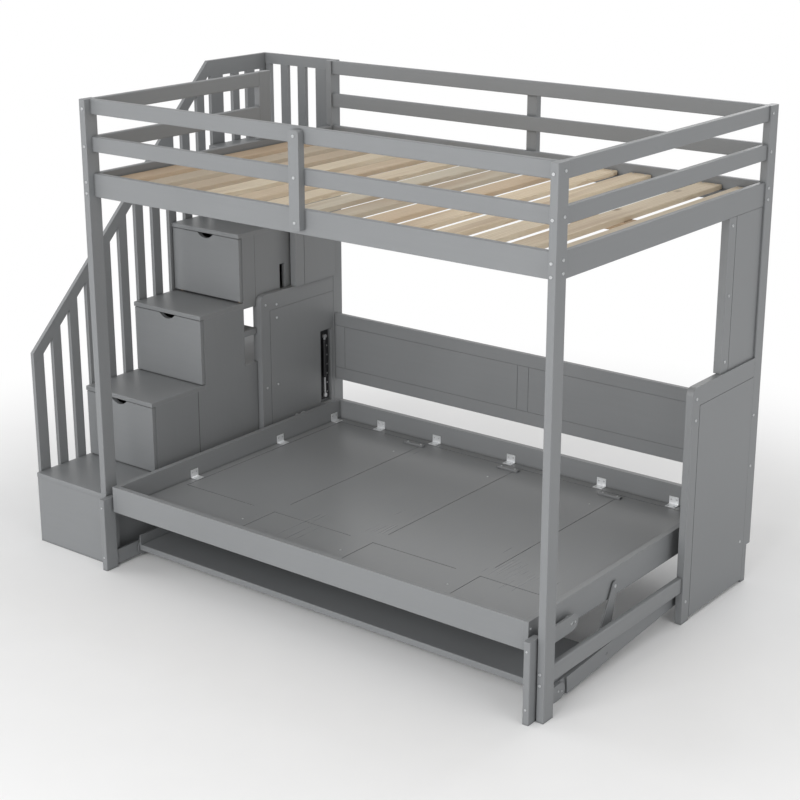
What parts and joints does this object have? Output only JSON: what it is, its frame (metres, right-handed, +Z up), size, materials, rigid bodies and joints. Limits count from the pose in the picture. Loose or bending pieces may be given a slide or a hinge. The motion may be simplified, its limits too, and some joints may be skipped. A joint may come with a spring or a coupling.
{
  "type": "bunk wall bed",
  "caption": "Bunk bed with slatted upper bed, storage stair with drawers and railings, and a wide lower bed that folds up like a wall bed while its legs and desk stay level",
  "frame": {"origin": "on the floor, under the middle of the bounding box", "axes": "+X along the length, from the stair end to the right end; +Y from front to back; +Z up"},
  "size_m": [2.4892, 1.503, 1.8567],
  "materials": {
    "grey_wood": "satin paint",
    "pine": "raw",
    "steel": "plain",
    "black_steel": "gloss"
  },
  "bodies": {
    "frame": {"back_board": "grey_wood", "back_centre_upright": "grey_wood", "back_guard_rails": "grey_wood", "back_left_post": "grey_wood", "back_right_post": "grey_wood", "back_side_rail": "grey_wood", "bay_shelves": "grey_wood", "bed_slats": "pine", "drawer_runners": "pine", "front_centre_upright": "grey_wood", "front_guard_rails": "grey_wood", "front_left_post": "grey_wood", "front_right_post": "grey_wood", "front_side_rail": "grey_wood", "gas_spring_rods": "steel", "gas_spring_tubes": "black_steel", "landing_back_posts": "grey_wood", "landing_back_rail": "grey_wood", "landing_board": "grey_wood", "landing_side_posts": "grey_wood", "landing_side_rail": "grey_wood", "left_guard_rails": "grey_wood", "left_lower_panel": "grey_wood", "left_side_rail": "grey_wood", "left_upper_panel": "grey_wood", "newel_post": "grey_wood", "right_floor_stretcher": "grey_wood", "right_guard_rails": "grey_wood", "right_lower_panel": "grey_wood", "right_side_rail": "grey_wood", "right_upper_panel": "grey_wood", "slat_centre_beam": "pine", "slat_ledges": "grey_wood", "sloping_balusters": "grey_wood", "sloping_handrail": "grey_wood", "stair_entry_board": "grey_wood", "stair_front_board": "grey_wood", "stair_inner_boards": "grey_wood", "stair_left_side": "grey_wood", "stair_right_front_side": "grey_wood", "stair_right_middle_side": "grey_wood", "stair_right_rear_side": "grey_wood", "treads": "grey_wood"},
    "lower_bed": {"lower_bed_long_rails": "grey_wood", "lower_bed_end_rails": "grey_wood", "lower_bed_deck": "grey_wood", "lower_bed_cleats": "grey_wood", "lower_bed_pivots": "steel"},
    "left_arm": {"left_arm": "grey_wood"},
    "right_arm": {"right_arm": "grey_wood"},
    "left_leg": {"left_leg": "grey_wood"},
    "right_leg": {"right_leg": "grey_wood"},
    "desk": {"desk_board": "grey_wood", "desk_side_plates": "steel"},
    "drawer_1": {"drawer_1_front": "grey_wood", "drawer_1_box": "grey_wood"},
    "drawer_2": {"drawer_2_front": "grey_wood", "drawer_2_box": "grey_wood"},
    "drawer_3": {"drawer_3_front": "grey_wood", "drawer_3_box": "grey_wood"}
  },
  "joints": [
    {"name": "bed_fold", "type": "hinge", "parent": "frame", "child": "lower_bed", "pos_m": [0.2025, 0.4285, 0.326], "axis": [-1, 0, 0], "range_deg": [0, 90]},
    {"name": "left_arm_swing", "type": "hinge", "parent": "frame", "child": "left_arm", "pos_m": [-0.7976, 0.3585, 0.1], "axis": [-1, 0, 0], "range_deg": [0, 90]},
    {"name": "right_arm_swing", "type": "hinge", "parent": "frame", "child": "right_arm", "pos_m": [1.2026, 0.3585, 0.1], "axis": [-1, 0, 0], "range_deg": [0, 90]},
    {"name": "left_leg_level", "type": "hinge", "parent": "lower_bed", "child": "left_leg", "pos_m": [-0.7976, -0.4765, 0.264], "axis": [-1, 0, 0], "range_deg": [-90, 0]},
    {"name": "right_leg_level", "type": "hinge", "parent": "lower_bed", "child": "right_leg", "pos_m": [1.2026, -0.4765, 0.264], "axis": [-1, 0, 0], "range_deg": [-90, 0]},
    {"name": "desk_level", "type": "hinge", "parent": "lower_bed", "child": "desk", "pos_m": [0.2025, -0.1765, 0.28455], "axis": [-1, 0, 0], "range_deg": [-90, 0]},
    {"name": "drawer_1_slide", "type": "slide", "parent": "frame", "child": "drawer_1", "axis": [0, -1, 0], "range_m": [0, 0.19]},
    {"name": "drawer_2_slide", "type": "slide", "parent": "frame", "child": "drawer_2", "axis": [0, -1, 0], "range_m": [0, 0.17]},
    {"name": "drawer_3_slide", "type": "slide", "parent": "frame", "child": "drawer_3", "axis": [0, -1, 0], "range_m": [0, 0.17]}
  ],
  "couplings": [
    {"joint": "left_arm_swing", "follows": "bed_fold", "ratio": 1},
    {"joint": "right_arm_swing", "follows": "bed_fold", "ratio": 1},
    {"joint": "left_leg_level", "follows": "bed_fold", "ratio": -1},
    {"joint": "right_leg_level", "follows": "bed_fold", "ratio": -1},
    {"joint": "desk_level", "follows": "bed_fold", "ratio": -1}
  ]
}
